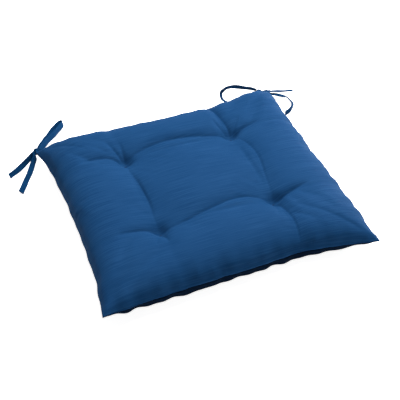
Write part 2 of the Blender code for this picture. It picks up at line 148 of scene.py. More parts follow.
# %% Write down the routes, measured from each rear corner
BOWS = {
    "left": {
        "corner": (-WIDTH / 2, DEPTH / 2, 0),
        "knot": (-0.0020, 0.0085, 0.0180),
        "axis": (0.68, 0.72, -0.12),
        "across": (0.30, -0.29, -0.91),
        "loop_first": -1,
        "loop": [
            (0.0138, 0.0248, 0.0160), (0.0237, 0.0387, 0.0135), (0.0343, 0.0520, 0.0110),
            (0.0450, 0.0665, 0.0085), (0.0532, 0.0785, 0.0065), (0.0582, 0.0868, 0.0053),
            (0.0576, 0.0908, 0.0050), (0.0528, 0.0892, 0.0050), (0.0440, 0.0815, 0.0050),
            (0.0350, 0.0705, 0.0052), (0.0255, 0.0570, 0.0068), (0.0170, 0.0420, 0.0100),
            (0.0100, 0.0290, 0.0140),
        ],
        "tails": {
            "outer": (1.3, (0.25, -0.40, -0.88), [
                (-0.0135, 0.0035, 0.0140), (-0.0205, 0, 0.0105), (-0.0290, -0.0045, 0.0075),
                (-0.0375, -0.0097, 0.0056), (-0.0460, -0.0152, 0.0047), (-0.0547, -0.0210, 0.0045),
            ]),
            "inner": (0.15, (0.66, -0.42, -0.62), [
                (-0.0085, -0.0030, 0.0150), (-0.0122, -0.0085, 0.0115), (-0.0158, -0.0142, 0.0088),
                (-0.0206, -0.0222, 0.0064), (-0.0257, -0.0307, 0.0050), (-0.0308, -0.0398, 0.0042),
                (-0.0359, -0.0490, 0.0038), (-0.0410, -0.0585, 0.0036), (-0.0461, -0.0677, 0.0036),
            ]),
        },
    },
    "right": {
        "corner": (WIDTH / 2, DEPTH / 2, 0),
        "knot": (-0.0097, 0.0229, 0.0180),
        "axis": (-0.888, 0.383, 0.252),
        "across": (-0.234, -0.738, 0.633),
        "loop_first": 1,
        "loop": [
            (-0.0212, 0.0307, 0.0228), (-0.0345, 0.0370, 0.0252), (-0.0430, 0.0407, 0.0264),
            (-0.0511, 0.0435, 0.0267), (-0.0592, 0.0453, 0.0257), (-0.0653, 0.0451, 0.0232),
            (-0.0700, 0.0436, 0.0203), (-0.0714, 0.0412, 0.0160), (-0.0708, 0.0364, 0.0111),
            (-0.0651, 0.0310, 0.0069), (-0.0539, 0.0249, 0.0045), (-0.0385, 0.0219, 0.0062),
            (-0.0250, 0.0222, 0.0110),
        ],
        "tails": {
            "straight": (1, (-0.234, -0.738, 0.633), [
                (0.0035, 0.0206, 0.0175), (0.0103, 0.0197, 0.0155), (0.0204, 0.0203, 0.0125),
                (0.0326, 0.0217, 0.0090), (0.0439, 0.0223, 0.0060), (0.0534, 0.0223, 0.0042),
            ]),
            "curved": (-1, (-0.10, -0.60, 0.79), [
                (0.0030, 0.0180, 0.0135), (0.0130, 0.0165, 0.0110), (0.0245, 0.0145, 0.0075),
                (0.0325, 0.0098, 0.0050), (0.0366, 0.0036, 0.0045), (0.0380, -0.0070, 0.0045),
                (0.0366, -0.0160, 0.0045), (0.0328, -0.0238, 0.0045), (0.0271, -0.0301, 0.0045),
                (0.0202, -0.0349, 0.0045), (0.0140, -0.0380, 0.0045),
            ]),
        },
    },
}
STRAND_OFFSET = 0.0022
STRAND_LEAD = 0.0035


def smooth_route(points, step):
    """Points about a step apart on a smooth curve through the route's own points."""
    ends = [2 * points[0] - points[1], *points, 2 * points[-1] - points[-2]]
    route = []
    for before, start, end, after in zip(ends, ends[1:], ends[2:], ends[3:]):
        count = max(1, round((end - start).length / step))
        for index in range(count):
            t = index / count
            square = 2 * before - 5 * start + 4 * end - after
            cube = 3 * start - before - 3 * end + after
            route.append((2 * start + (end - before) * t + square * t**2 + cube * t**3) / 2)
    return [*route, points[-1]]


def knot_frame(bow):
    """The knot's middle, its axis, the direction of the ties' width there and of their thickness."""
    centre = Vector(bow["corner"]) + Vector(bow["knot"])
    axis = Vector(bow["axis"]).normalized()
    across = Vector(bow["across"])
    across = (across - axis * across.dot(axis)).normalized()
    return centre, axis, across, axis.cross(across)


def strand_start(bow, end, strand):
    """Two points that lead a strand straight out of the knot, at one end and on one side of it."""
    centre, axis, _, through = knot_frame(bow)
    face = centre + end * axis * (KNOT_LENGTH / 2 + CLEARANCE)
    first = face + strand * through * STRAND_OFFSET
    return [first, first + end * axis * STRAND_LEAD]


print("routes written for", len(BOWS), "bows")

# %% Lay a strip along a route
RIBBON_STEP = 0.0022
RIBBON_COLUMNS = 8
GATHER = 0.34  # the share of its width that a strip loses where the knot grips it
GATHER_REACH = 0.016
CUP = 0.0011  # how far a gripped strip's edges fold up
SEAT_GAP = 0.0002
SWAY = 0.0004  # how far a slack strip waves
SWAY_RATE = 190
PRESSED_EDGE = 0.32  # the edge's rounding, as a share of the thickness
LEAN = {"right_loop": 28, "right_tail_straight": 22, "right_tail_curved": 30}  # degrees


def route_length(route):
    return sum((b - a).length for a, b in zip(route, route[1:]))


def lay_strip(name, points, first_across, last_across, gripped, width=TIE_WIDTH, thick=TIE_THICKNESS):
    """A strip of cloth on the route. gripped says whether its start and its end are in a knot."""
    route = smooth_route(points, RIBBON_STEP)
    count = len(route) - 1
    total = route_length(route)
    bm = bmesh.new()
    bmesh.ops.create_grid(bm, x_segments=count, y_segments=RIBBON_COLUMNS, size=1)
    uv = bm.loops.layers.uv.new("cloth")
    along = [0]
    for a, b in zip(route, route[1:]):
        along.append(along[-1] + (b - a).length)
    frames = []
    for index, centre in enumerate(route):
        before, after = route[max(0, index - 1)], route[min(count, index + 1)]
        tangent = (after - before).normalized()
        across = first_across.lerp(last_across, index / count)
        across = (across - tangent * across.dot(tangent)).normalized()
        across = Matrix.Rotation(math.radians(LEAN.get(name, 0)), 3, tangent) @ across
        frames.append((centre, tangent, across, tangent.cross(across)))
    for face in bm.faces:
        for loop in face.loops:
            index = round((loop.vert.co.x + 1) / 2 * count)
            loop[uv].uv = (along[index], loop.vert.co.y * width / 2)
    for vert in bm.verts:
        index, share = round((vert.co.x + 1) / 2 * count), vert.co.y
        centre, tangent, across, through = frames[index]
        near = [along[index] if gripped[0] else 1, total - along[index] if gripped[1] else 1]
        grip = 1 - float(smoothstep(min(near) / GATHER_REACH))
        sway = SWAY * math.sin(along[index] * SWAY_RATE + share * 1.3)
        half = width / 2 * (1 - GATHER * grip)
        lift = CUP * grip * (share * share - 0.4) + sway * (1 - grip)
        vert.co = centre + across * share * half + through * lift
    for vert in bm.verts:
        vert.co.z = max(vert.co.z, thick / 2 + SEAT_GAP)
    strip = finish_piece(name, bm, "tie")
    wall = strip.modifiers.new("folded thickness", "SOLIDIFY")
    wall.thickness = thick
    wall.offset = 0
    edge = strip.modifiers.new("pressed edges", "BEVEL")
    edge.width = thick * PRESSED_EDGE
    edge.segments = 2
    edge.limit_method = "ANGLE"
    edge.angle_limit = math.radians(50)
    return strip, route


strips = {}
for side, bow in BOWS.items():
    corner = Vector(bow["corner"])
    _, _, across, _ = knot_frame(bow)
    out = strand_start(bow, 1, bow["loop_first"])
    back = strand_start(bow, 1, -bow["loop_first"])
    middle = [corner + Vector(point) for point in bow["loop"]]
    jobs = {f"{side}_loop": ([*out, *middle, *reversed(back)], across, (True, True), f"tie_loop_{side}")}
    for tail, (strand, end_across, places) in bow["tails"].items():
        points = strand_start(bow, -1, strand) + [corner + Vector(point) for point in places]
        end = Vector(end_across).normalized()
        jobs[f"{side}_tail_{tail}"] = (points, end, (True, False), f"tie_tail_{side}_{tail}")
    for name, (points, end, gripped, node) in jobs.items():
        strip, route = lay_strip(name, points, across, end, gripped)
        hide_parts(node)
        strips[name] = strip
        print(name, "is", round(route_length(route), 3), "m long")

# %% [markdown]
# ## The knots
#
# A bow's knot is the strip wrapped once round both strands and drawn tight. Each wrap is a rounded
# band, made by spinning an oval section round the bow's axis, and two wraps lie crossed over a core
# that stands for the strands inside. A neck of two plies ties it to the pad's corner.

# %% Wrap the knots
CORE = (0.0043, 0.0040, 0.0031)  # half its length along the knot's axis, its width and its depth
SQUEEZE = 0.16  # how much wider than round the knot is
DENT, DENT_SCALE = 0.00022, 420
WRAPS = (  # radius, half width, half thickness, tilt in degrees, shift along the axis
    (0.0037, 0.0024, 0.0008, 24, 0.0004),
    (0.0044, 0.0017, 0.0007, -31, -0.0006),
)


def add_wrap(bm, centre, axis, across, through, wrap):
    radius, half_width, half_thickness, tilt, shift = wrap
    lean = Matrix.Rotation(math.radians(tilt), 3, across)
    round_axis, outward = lean @ axis, lean @ through
    middle = centre + axis * shift
    oval = bmesh.ops.create_circle(bm, cap_ends=False, segments=12, radius=1)["verts"]
    for vert in oval:
        vert.co = (
            middle
            + outward * (radius + vert.co.y * half_thickness)
            + round_axis * vert.co.x * half_width
        )
    edges = list({edge for vert in oval for edge in vert.link_edges})
    bmesh.ops.spin(
        bm, geom=oval + edges, cent=middle, axis=round_axis, angle=math.tau, steps=28, use_merge=True
    )


def make_knot(side, bow):
    centre, axis, across, through = knot_frame(bow)
    bm = bmesh.new()
    for wrap in WRAPS:
        add_wrap(bm, centre, axis, across, through, wrap)
    core = bmesh.ops.create_icosphere(bm, subdivisions=3, radius=1)["verts"]
    for vert in core:
        x, y, z = vert.co
        vert.co = centre + axis * x * CORE[0] + across * y * CORE[1] + through * z * CORE[2]
    bmesh.ops.remove_doubles(bm, verts=bm.verts, dist=1e-6)
    for vert in bm.verts:
        away = vert.co - centre
        away = away + across * away.dot(across) * SQUEEZE
        dent = DENT * noise.noise(vert.co * DENT_SCALE)
        vert.co = centre + away + away.normalized() * dent
    bmesh.ops.recalc_face_normals(bm, faces=bm.faces)
    return finish_piece(f"{side}_knot", bm, "tie", [f"tie_knot_{side}"], levels=1)


NECK_WIDTH = 0.0068
NECK_THICKNESS = 0.0026
NECKS = {  # each neck's route from inside the pad's corner, measured from that corner
    "left": [(0.0060, -0.0060, 0.0195), (0.0012, -0.0012, 0.0192), (-0.0008, 0.0030, 0.0190)],
    "right": [(-0.0062, -0.0060, 0.0290), (-0.0008, 0.0008, 0.0288), (0.0006, 0.0080, 0.0262),
              (-0.0050, 0.0150, 0.0225)],
}
for side, bow in BOWS.items():
    make_knot(side, bow)
    centre, axis, across, _ = knot_frame(bow)
    corner = Vector(bow["corner"])
    places = [corner + Vector(point) for point in NECKS[side]] + [centre]
    level = Vector((1, 1 if side == "left" else -1, 0)).normalized()
    lay_strip(f"{side}_neck", places, level, across, (False, False), NECK_WIDTH, NECK_THICKNESS)

# %% [markdown]
# ## The pad, blown up
#
# The cover is two squares of cloth sewn together round the edge, turned and stuffed. A block with
# rounded edges never looks like that, because it has no tension in it. So the pad starts as a closed
# skin somewhat flatter than the real one and a cloth simulation inflates it, with its corners and
# the four tufts held. How far a point may move is capped, so the pad stays near the CAD's size.

# %% Lay out the skin
CELLS = 72
TUFT_SHARE = TUFT / (WIDTH / 2)
TUFT_LINE = round(TUFT_SHARE * CELLS / 2)


def grid_share(index):
    """Where a grid line runs, from -1 to 1, with one line of each half through the tufts."""
    step = abs(index - CELLS // 2)
    if step <= TUFT_LINE:
        share = step / TUFT_LINE * TUFT_SHARE
    else:
        share = TUFT_SHARE + (step - TUFT_LINE) / (CELLS / 2 - TUFT_LINE) * (1 - TUFT_SHARE)
    return math.copysign(share, index - CELLS // 2)


SIDE_PULLS = {  # each side's line: the share of the way along it, and how far in it runs there
    "left": [
        (-1, -0.0045), (-0.8, 0.0015), (-0.6, 0.0060), (-0.1, 0.0095), (0.4, 0.0085), (0.8, 0.0030),
        (1, -0.0060)],
    "right": [(-1, 0), (-0.6, 0.0010), (0, 0.0035), (0.5, 0.0025), (1, 0)],
    "front": [
        (-1, 0), (-0.6, 0.0070), (-0.2, 0.0110), (0.15, 0.0140), (0.42, 0.0190), (0.7, 0.0120), (1, 0)],
    "rear": [
        (-1, 0), (-0.7, 0.0035), (-0.3, 0.0110), (0.1, 0.0160), (0.5, 0.0150), (0.75, 0.0040), (1, 0)],
}


def side_pull(side, along):
    points = [Vector((share, pull, 0)) for share, pull in SIDE_PULLS[side]]
    curve = smooth_route(points, 0.02)
    return np.interp(along, [point.x for point in curve], [point.y for point in curve])


def outline(u, v):
    pull_x = np.where(u < 0, side_pull("left", v), side_pull("right", v))
    pull_y = np.where(v < 0, side_pull("front", u), side_pull("rear", u))
    return u * (WIDTH / 2 - pull_x * u**6), v * (DEPTH / 2 - pull_y * v**6)


def seam_rise(u, v):
    """The seam's height round the pad, whose corners are twisted, least of all at the left tie."""
    twist = CORNER_TWIST * np.where((u < 0) & (v > 0), 0.1, np.where(u < 0, 0.5, 1))
    return SEAM_HEIGHT + twist * u * v * np.maximum(abs(u), abs(v)) ** 4


def make_skin():
    """Two grids joined at the rim. Material 0 is the upper panel's faces, and 1 the lower's."""
    bm = bmesh.new()
    bmesh.ops.create_grid(bm, x_segments=CELLS, y_segments=CELLS, size=1)
    copy = bmesh.ops.duplicate(bm, geom=bm.verts[:] + bm.edges[:] + bm.faces[:])["geom"]
    lower = [item for item in copy if isinstance(item, bmesh.types.BMFace)]
    lower_verts = {vert for face in lower for vert in face.verts}
    for vert in bm.verts:
        vert.co.z = 0 if vert.is_boundary else (-1 if vert in lower_verts else 1)
    bmesh.ops.reverse_faces(bm, faces=lower)
    for face in lower:
        face.material_index = 1
    rim = [vert for vert in bm.verts if vert.is_boundary]
    bmesh.ops.remove_doubles(bm, verts=rim, dist=1e-4)
    flat = bm.loops.layers.uv.new("cloth")
    for vert in bm.verts:
        column = round((vert.co.x + 1) / 2 * CELLS)
        row = round((vert.co.y + 1) / 2 * CELLS)
        vert.co.x, vert.co.y = grid_share(column), grid_share(row)
        for loop in vert.link_loops:
            loop[flat].uv = (vert.co.x * WIDTH / 2, vert.co.y * DEPTH / 2)
    mesh = bpy.data.meshes.new("pad_skin")
    bm.to_mesh(mesh)
    bm.free()
    return mesh


def read_points(mesh):
    points = np.zeros(len(mesh.vertices) * 3)
    mesh.vertices.foreach_get("co", points)
    return points.reshape(-1, 3)


def write_points(mesh, points):
    mesh.vertices.foreach_set("co", points.astype(np.float32).ravel())
    mesh.update()


skin = make_skin()
unit = read_points(skin)
share_x, share_y, layer = unit[:, 0], unit[:, 1], np.rint(unit[:, 2])
print("skin of", len(unit), "points")

# %% Shape it before the simulation
START_FILL = 0.88
ROUND = 8  # an even power: the higher, the steeper the pad's sides
BETWEEN = 0.004  # how deep the cloth dips halfway between two tufts
FUNNEL = 0.042  # how far from a tuft its dip reaches
UNDER_FUNNEL = 0.045
LINE_REACH = 0.028
UNDER_FILL = 1.35  # the underside's fullness, before the seat presses it flat
HELD_REACH = 0.002  # a point this near a tuft's middle is held


def tuft_distance(x, y):
    return np.hypot(abs(x) - TUFT, abs(y) - TUFT)


def dip(distance, reach):
    return np.clip(1 - distance / reach, 0, 1) ** 2


def line_dip(x, y, reach):
    """1 on the lines through the tufts, fading to each side."""
    return np.maximum(dip(abs(abs(x) - TUFT), reach), dip(abs(abs(y) - TUFT), reach))


x, y = outline(share_x, share_y)
full = np.sqrt(np.clip(1 - share_x**ROUND, 0, 1) * np.clip(1 - share_y**ROUND, 0, 1))
tuft_full = 1 - TUFT_SHARE**ROUND
upper = (HEIGHT - SEAM_HEIGHT) * full
upper -= ((HEIGHT - SEAM_HEIGHT) * tuft_full - (TUFT_TOP - SEAM_HEIGHT)) * dip(tuft_distance(x, y), FUNNEL)
upper -= BETWEEN * line_dip(x, y, LINE_REACH) * full * (1 - dip(tuft_distance(x, y), FUNNEL))
lower = np.minimum(SEAM_HEIGHT, SEAM_HEIGHT * UNDER_FILL * full)
lower -= TUFT_BOTTOM * dip(tuft_distance(x, y), UNDER_FUNNEL)
rise = np.where(layer > 0, upper, np.where(layer < 0, -lower, 0)) * START_FILL
start = np.stack([x, y, seam_rise(share_x, share_y) + rise], axis=1)
at_tuft = (tuft_distance(x, y) < HELD_REACH) & (layer != 0)
at_corner = (abs(share_x) > 0.999) & (abs(share_y) > 0.999)
start[at_tuft, 2] = np.where(layer[at_tuft] > 0, TUFT_TOP, TUFT_BOTTOM)
write_points(skin, start)
print("held points:", int(at_tuft.sum()), "at tufts and", int(at_corner.sum()), "at corners")

# %% Blow it up
PRESSURE = 34
FRAMES = 20
FURTHEST = 0.014


def inflate(mesh, held):
    body = new_object("pad_blown_up", mesh)
    group = body.vertex_groups.new(name="held")
    group.add([int(index) for index in np.flatnonzero(held)], 1.0, "REPLACE")
    cloth = body.modifiers.new("cloth", "CLOTH")
    settings = cloth.settings
    settings.quality = 6
    settings.mass = 0.05
    settings.bending_stiffness = 0.5
    settings.vertex_group_mass = "held"
    settings.use_pressure = True
    settings.uniform_pressure_force = PRESSURE
    settings.effector_weights.gravity = 0
    cloth.collision_settings.use_collision = False
    cloth.point_cache.frame_end = FRAMES
    for number in range(1, FRAMES + 1):
        bpy.context.scene.frame_set(number)
    depsgraph = bpy.context.evaluated_depsgraph_get()
    blown = read_points(body.evaluated_get(depsgraph).to_mesh())
    bpy.data.objects.remove(body)
    bpy.context.scene.frame_set(1)
    return blown


blown = inflate(skin, at_tuft | at_corner)
moved = blown - start
distance = np.linalg.norm(moved, axis=1)
limit = FURTHEST * np.tanh(distance / FURTHEST) / np.maximum(distance, 1e-9)
blown = start + moved * limit[:, None]
print("the skin moved up to", round(float(distance.max()) * 1000, 1), "mm")

# %% [markdown]
# ## Fitting the seam and the seat
#
# Inflation draws each side in by an amount that nobody sets, so the rim is brought back to the pad's
# outline, and the change fades out within a few centimetres. The filling is then plumped where hands
# push it, into the corners and round each tuft. Underneath, the pad rests on the seat: what would go
# below it is pressed flat.

# %% Bring the rim back to the outline, and press the underside flat
REST_SOFTNESS = 0.004


def fit_rim(points):
    wanted_x, wanted_y = outline(share_x, share_y)
    rim = layer == 0
    fitted = points.copy()
    for axis, own, other in ((0, share_x, share_y), (1, share_y, share_x)):
        wanted = (wanted_x, wanted_y)[axis]
        for end in (-1, 1):
            edge = rim & (own * end > 0.9999)
            order = np.argsort(other[edge])
            shift = (wanted - points[:, axis])[edge][order]
            smooth_shift = np.interp(other, other[edge][order], shift)
            weight = np.clip(own * end, 0, 1) ** 6
            fitted[:, axis] += smooth_shift * weight
    lift = np.where(rim, seam_rise(share_x, share_y) - points[:, 2], 0)
    fitted[:, 2] += lift
    return fitted


def press_flat(points):
    pressed = points.copy()
    under = layer < 0
    z = points[under, 2]
    pressed[under, 2] = np.maximum(0, (z + np.sqrt(z * z + REST_SOFTNESS**2)) / 2 - REST_SOFTNESS / 5)
    return pressed


PLUMP = {  # the corner, how far its filling is raised, how far out and how widely
    (-1, 1): (0.0060, 0.150, 0.050),
    (1, 1): (0.0062, 0.172, 0.034),
    (1, -1): (0.0025, 0.150, 0.050),
    (-1, -1): (0.0015, 0.150, 0.050),
}
SHOULDER = 0.0065  # how far the filling rises round each tuft's dimple
SHOULDER_REACH = 0.036
DIMPLE = 0.009


def plump_corners(points):
    """The filling is pushed into the corners by hand, and stands up round each tuft's narrow dimple."""
    plumped = points.copy()
    for (side_x, side_y), (lift, place, reach) in PLUMP.items():
        gap = np.hypot(points[:, 0] - side_x * place, points[:, 1] - side_y * place)
        plumped[:, 2] += np.where(layer > 0, lift * np.exp(-((gap / reach) ** 2)), 0)
    gap = tuft_distance(points[:, 0], points[:, 1])
    shoulder = SHOULDER * np.exp(-((gap / SHOULDER_REACH) ** 2)) * (1 - np.exp(-((gap / DIMPLE) ** 2)))
    plumped[:, 2] += np.where(layer > 0, shoulder, 0)
    return plumped


pad = press_flat(plump_corners(fit_rim(blown)))
write_points(skin, pad)
crown = pad[layer > 0, 2].max()
print("crown at", round(float(crown) * 1000, 1), "mm; resting points", int((pad[:, 2] < 1e-5).sum()))

# %% Refine the skin, keeping the seam sharp
def refine(mesh):
    creases = mesh.attributes.new("crease_edge", "FLOAT", "EDGE")
    rim = layer == 0
    sharp = [float(rim[edge.vertices[0]] and rim[edge.vertices[1]]) for edge in mesh.edges]
    creases.data.foreach_set("value", sharp)
    tips = mesh.attributes.new("crease_vert", "FLOAT", "POINT")
    pointed = at_corner & ((share_x > 0) | (share_y > 0))  # all but the front left corner
    tips.data.foreach_set("value", pointed.astype(np.float32))
    body = new_object("pad_refined", mesh)
    finer = body.modifiers.new("finer", "SUBSURF")
    finer.levels = finer.render_levels = 2
    depsgraph = bpy.context.evaluated_depsgraph_get()
    fine = bpy.data.meshes.new_from_object(body.evaluated_get(depsgraph))
    bpy.data.objects.remove(body)
    return fine


fine_skin = refine(skin)
fine = read_points(fine_skin)
cloth_uv = np.zeros(len(fine_skin.loops) * 2)
fine_skin.uv_layers["cloth"].data.foreach_get("uv", cloth_uv)
loop_verts = np.zeros(len(fine_skin.loops), int)
fine_skin.loops.foreach_get("vertex_index", loop_verts)
flat = np.zeros((len(fine), 2))
flat[loop_verts] = cloth_uv.reshape(-1, 2)
u, v = flat[:, 0] / (WIDTH / 2), flat[:, 1] / (DEPTH / 2)
face_side = np.zeros(len(fine_skin.polygons), int)
fine_skin.polygons.foreach_get("material_index", face_side)
loops_per_face = np.array([polygon.loop_total for polygon in fine_skin.polygons])
loop_side = np.repeat(face_side, loops_per_face)
in_upper, in_lower = np.zeros(len(fine), bool), np.zeros(len(fine), bool)
in_upper[loop_verts[loop_side == 0]] = True
in_lower[loop_verts[loop_side == 1]] = True
on_seam = in_upper & in_lower
print("refined to", len(fine), "points,", int(on_seam.sum()), "on the seam")

# %% [markdown]
# ## Creases and puckers
#
# The tufts pull the cloth into creases that run from one to the next and fan out towards the edge.
# The grid is too coarse for them to come out of the simulation, so each is pressed in after it, along
# its own line: deepest at the crease, easing out over its width. The seam gathers the cloth a
# little, which makes the fine ripples along the edge, and the lower panel billows below it.

# %% Press in the creases
CREASES = [  # depth at the start, middle and end, width behind and in front of the line, the line
    ((0.0010, 0.0058, 0.0010), (0.018, 0.026), [
        (-0.0865, 0.0865), (-0.066, 0.0960), (-0.035, 0.1040), (-0.004, 0.1060), (0.025, 0.1020),
        (0.052, 0.0955), (0.0865, 0.0865)]),
    ((0.0010, 0.0056, 0.0010), (0.028, 0.016), [
        (-0.0865, -0.0865), (-0.071, -0.0870), (-0.047, -0.0835), (-0.010, -0.0750), (0.025, -0.0680),
        (0.054, -0.0690), (0.0865, -0.0865)]),
    ((0.0005, 0.0024, 0.0005), (0.022, 0.022), [
        (-0.0865, 0.0865), (-0.0880, 0.0550), (-0.0850, 0.0200), (-0.0840, -0.0260), (-0.0870, -0.0600),
        (-0.0865, -0.0865)]),
    ((0.0005, 0.0026, 0.0005), (0.024, 0.024), [
        (0.0865, 0.0865), (0.1000, 0.0530), (0.1025, 0.0130), (0.0950, -0.0330), (0.0865, -0.0865)]),
    ((0.0030, 0.0045, 0), (0.012, 0.022), [
        (-0.0865, 0.0865), (-0.0960, 0.0930), (-0.1080, 0.1000), (-0.1250, 0.1035), (-0.1420, 0.1030),
        (-0.1620, 0.0990)]),
    ((0.0028, 0.0022, 0), (0.010, 0.010), [
        (-0.0865, 0.0865), (-0.0930, 0.1050), (-0.0985, 0.1240), (-0.1040, 0.1430)]),
    ((0.0020, 0.0012, 0), (0.009, 0.009), [
        (-0.0865, 0.0865), (-0.0845, 0.1080), (-0.0830, 0.1340)]),
    ((0.0035, 0.0050, 0.0030), (0.016, 0.016), [
        (0.0865, 0.0865), (0.0880, 0.1050), (0.0860, 0.1300), (0.0820, 0.1600), (0.0760, 0.1880)]),
    ((0.0020, 0.0020, 0), (0.010, 0.010), [
        (0.0865, 0.0865), (0.0770, 0.1040), (0.0700, 0.1330)]),
    ((0.0025, 0.0022, 0), (0.011, 0.011), [
        (0.0865, 0.0865), (0.0985, 0.1010), (0.1160, 0.1230)]),
    ((0.0045, 0.0042, 0), (0.012, 0.016), [
        (0.0865, 0.0865), (0.0970, 0.0885), (0.1100, 0.0920), (0.1260, 0.0960), (0.1450, 0.0990)]),
    ((0.0040, 0.0040, 0), (0.012, 0.014), [
        (0.0865, -0.0865), (0.0960, -0.0860), (0.1080, -0.0840), (0.1260, -0.0810), (0.1500, -0.0780)]),
    ((0.0030, 0.0036, 0.0010), (0.018, 0.018), [
        (0.0865, -0.0865), (0.0900, -0.1090), (0.0925, -0.1360), (0.0900, -0.1640), (0.0850, -0.1860)]),
    ((0.0022, 0.0015, 0), (0.010, 0.010), [
        (0.0865, -0.0865), (0.0810, -0.1120), (0.0740, -0.1350)]),
    ((0.0025, 0.0026, 0), (0.014, 0.014), [
        (-0.0865, -0.0865), (-0.0980, -0.0830), (-0.1150, -0.0810), (-0.1350, -0.0815),
        (-0.1560, -0.0830)]),
    ((0.0030, 0.0018, 0), (0.010, 0.010), [
        (-0.0865, -0.0865), (-0.0850, -0.1040), (-0.0830, -0.1250)]),
    ((0.0018, 0.0012, 0), (0.010, 0.010), [
        (-0.0865, -0.0865), (-0.0960, -0.1050), (-0.1050, -0.1260)]),
]
CREASE_ROUNDING = 0.0011
FOLD = 0.0012  # the sharp fold at the bottom of a crease
FOLD_REACH = 0.0021
FOLD_WHOLE = 0.0025  # a crease this deep has its whole fold
DEEPEST = 0.016  # creases that meet never add up to more than this
TUFT_CLEAR = 0.013  # creases ease out this near a tuft, which stays at its own height


def along_line(x, y, line):
    """The nearest point's distance from a line, its share of the way along, and its side."""
    points = [Vector((*place, 0)) for place in line]
    curve = np.array([point[:2] for point in smooth_route(points, 0.004)])
    steps = np.linalg.norm(np.diff(curve, axis=0), axis=1)
    reached = np.concatenate([[0], np.cumsum(steps)])
    best = np.full(len(x), 1e9)
    share, side = np.zeros(len(x)), np.zeros(len(x))
    for index, (a, b) in enumerate(zip(curve, curve[1:])):
        run = b - a
        t = np.clip(((x - a[0]) * run[0] + (y - a[1]) * run[1]) / (run @ run), 0, 1)
        off_x, off_y = x - a[0] - t * run[0], y - a[1] - t * run[1]
        gap = np.hypot(off_x, off_y)
        closer = gap < best
        best = np.where(closer, gap, best)
        share = np.where(closer, (reached[index] + t * steps[index]) / reached[-1], share)
        side = np.where(closer, run[0] * off_y - run[1] * off_x, side)
    return best, share, side


def crease_depth(x, y):
    total = np.zeros(len(x))
    for depths, widths, line in CREASES:
        gap, share, side = along_line(x, y, line)
        depth = np.interp(share, (0, 0.5, 1), depths)
        depth = depth * smoothstep((1 - share) * 4 + (0 if depths[2] == 0 else 1))
        width = np.where(side > 0, widths[0], widths[1])
        rounded = np.sqrt(gap * gap + CREASE_ROUNDING**2) - CREASE_ROUNDING
        pressed = depth * np.clip(1 - rounded / width, 0, 1) ** 2.3
        pressed += FOLD * np.clip(depth / FOLD_WHOLE, 0, 1) * np.exp(-((gap / FOLD_REACH) ** 2))
        total = total + pressed - total * pressed / DEEPEST
    return total * (0.15 + 0.85 * smoothstep(tuft_distance(x, y) / TUFT_CLEAR))


EDGE_FADE = 9  # the outer ninth of the pad's half width, where creases and ripples fade out
PUCKER = 0.0017
PUCKER_REACH = 0.016
SCALLOP = 0.0030  # how far the lower panel billows between its tighter stitches
SCALLOP_REACH = 0.030
SCALLOP_FADE = 30
SIDE_SCALLOP = 0.6  # the side billows' height, as a share of the others'
SCALLOPS_ALONG_X = (0.0290, 0.0470, 0.0560)  # the lengths of its waves
SCALLOPS_ALONG_Y = (0.0330, 0.0510, 0.0620)


def ripple(position, lengths, seed):
    waves = [
        math.sin(seed * 3.1 + index * 1.7) * 0.25
        + np.sin(position * math.tau / length + seed * (index + 1.3))
        for index, length in enumerate(lengths)
    ]
    return sum(waves) / len(waves)


def pucker(u, v):
    """The seam's ripples, and how near a point is to the seam."""
    gap_x, gap_y = (1 - abs(u)) * WIDTH / 2, (1 - abs(v)) * DEPTH / 2
    along_y = ripple(v * DEPTH / 2, (0.0245, 0.0370, 0.0612), 1.0)
    along_y = np.where(u > 0, along_y, 0.6 * ripple(v * DEPTH / 2, (0.0368, 0.0610, 0.0870), 2.2))
    along_x = ripple(u * WIDTH / 2, (0.0232, 0.0355, 0.0640), 3.4)
    along_x = np.where(v > 0, along_x, ripple(u * WIDTH / 2, (0.0255, 0.0390, 0.0585), 4.1))
    fade_x, fade_y = smoothstep((1 - abs(u)) * EDGE_FADE), smoothstep((1 - abs(v)) * EDGE_FADE)
    near_x, near_y = np.exp(-gap_x / PUCKER_REACH), np.exp(-gap_y / PUCKER_REACH)
    return along_y * near_x * fade_y, along_x * near_y * fade_x


carved = fine.copy()
edge_fade = smoothstep((1 - np.maximum(abs(u), abs(v))) * EDGE_FADE)
depth = crease_depth(fine[:, 0], fine[:, 1]) * edge_fade
top_only = in_upper & ~on_seam
carved[top_only, 2] -= depth[top_only]
wave_x, wave_y = pucker(u, v)
carved[:, 0] += np.sign(u) * wave_x * PUCKER
carved[:, 1] += np.sign(v) * wave_y * PUCKER
vertical = np.where(on_seam, 0.5, np.where(in_upper, 1.0, -0.7))
carved[:, 2] += (wave_x + wave_y) * PUCKER * vertical * np.where(carved[:, 2] > 0.004, 1, 0)
carved[in_lower, 2] = np.maximum(carved[in_lower, 2], 0)
billow = ripple(u * WIDTH / 2, SCALLOPS_ALONG_X, 5.2)
billow *= np.exp(-(1 - abs(v)) * DEPTH / 2 / SCALLOP_REACH)
side_billow = ripple(v * DEPTH / 2, SCALLOPS_ALONG_Y, 6.1)
side_billow *= np.exp(-(1 - abs(u)) * WIDTH / 2 / SCALLOP_REACH)
billows = in_lower & ~on_seam
billow = np.sign(v) * billow * SCALLOP * smoothstep((1 - abs(v)) * SCALLOP_FADE)
side_billow = np.sign(u) * side_billow * SCALLOP * SIDE_SCALLOP * smoothstep((1 - abs(u)) * SCALLOP_FADE)
carved[billows, 1] += billow[billows]
carved[billows, 0] += side_billow[billows]
write_points(fine_skin, carved)
print("deepest crease", round(float(depth.max()) * 1000, 1), "mm")

# %% [markdown]
# ## Two panels and their seam
#
# The pad is sewn inside out and turned, so each panel's edge rolls inwards and runs on as an
# allowance behind the seam. The skin is parted along the seam, each rim is extruded inwards, and a
# Solidify modifier gives both panels the cloth's thickness.

